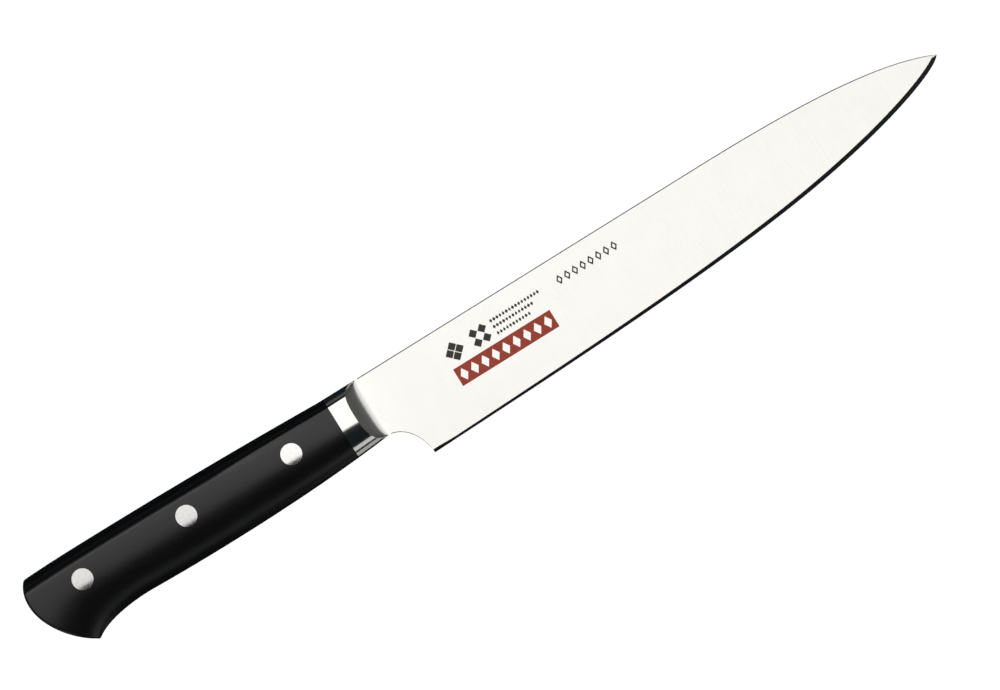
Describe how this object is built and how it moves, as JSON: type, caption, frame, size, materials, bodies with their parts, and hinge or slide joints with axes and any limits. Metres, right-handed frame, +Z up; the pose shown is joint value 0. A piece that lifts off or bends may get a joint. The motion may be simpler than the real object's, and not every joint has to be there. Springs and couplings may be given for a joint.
{
  "type": "boning knife",
  "caption": "Full-tang kitchen knife with a long slender ground blade, a steel bolster that ramps into it, and a black beaked grip of scales held by flush rivets.",
  "frame": {"origin": "middle of the knife's footprint, on the surface that it lies on", "axes": "+X to the blade's tip, +Y to the spine, +Z up through the knife's thickness, out of its right side; the knife lies on its left side"},
  "size_m": [0.3336, 0.0346, 0.015],
  "materials": {
    "blade_steel": "satin, fine cross grind",
    "bolster_steel": "polished",
    "grip_black": "satin black",
    "rivet_steel": "ground flush, satin"
  },
  "bodies": {
    "root": {"blade": "blade_steel", "bolster_cheek_right": "bolster_steel", "bolster_cheek_left": "bolster_steel", "scale_right": "grip_black", "scale_left": "grip_black", "rivet_1_stud": "rivet_steel", "rivet_1_tube": "rivet_steel", "rivet_2_stud": "rivet_steel", "rivet_2_tube": "rivet_steel", "rivet_3_stud": "rivet_steel", "rivet_3_tube": "rivet_steel"}
  },
  "joints": []
}
